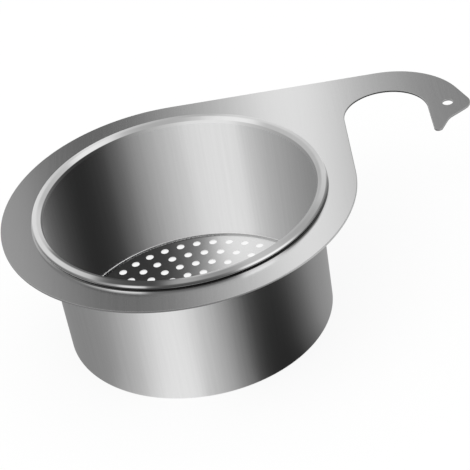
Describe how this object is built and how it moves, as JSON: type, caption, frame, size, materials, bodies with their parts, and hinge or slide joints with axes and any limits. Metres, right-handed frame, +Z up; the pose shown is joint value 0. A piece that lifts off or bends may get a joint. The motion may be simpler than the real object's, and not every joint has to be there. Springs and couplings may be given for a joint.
{
  "type": "corner sink strainer",
  "caption": "Drawn steel strainer cup with a drilled floor, resting by its curled rim in a flat plate that ends in a bird-head hook for a tap.",
  "frame": {"origin": "centre of the cup's flat underside", "axes": "+Z up along the cup's axis, +X along the plate's straight back edge towards the hook, +Y towards that edge"},
  "size_m": [0.1976, 0.1448, 0.0612],
  "materials": {
    "cup_steel": "satin, brushed up the wall, with a polished rim",
    "plate_steel": "satin, fine grain across the plate"
  },
  "bodies": {
    "root": {"strainer_cup": "cup_steel", "hook_plate": "plate_steel"}
  },
  "joints": []
}
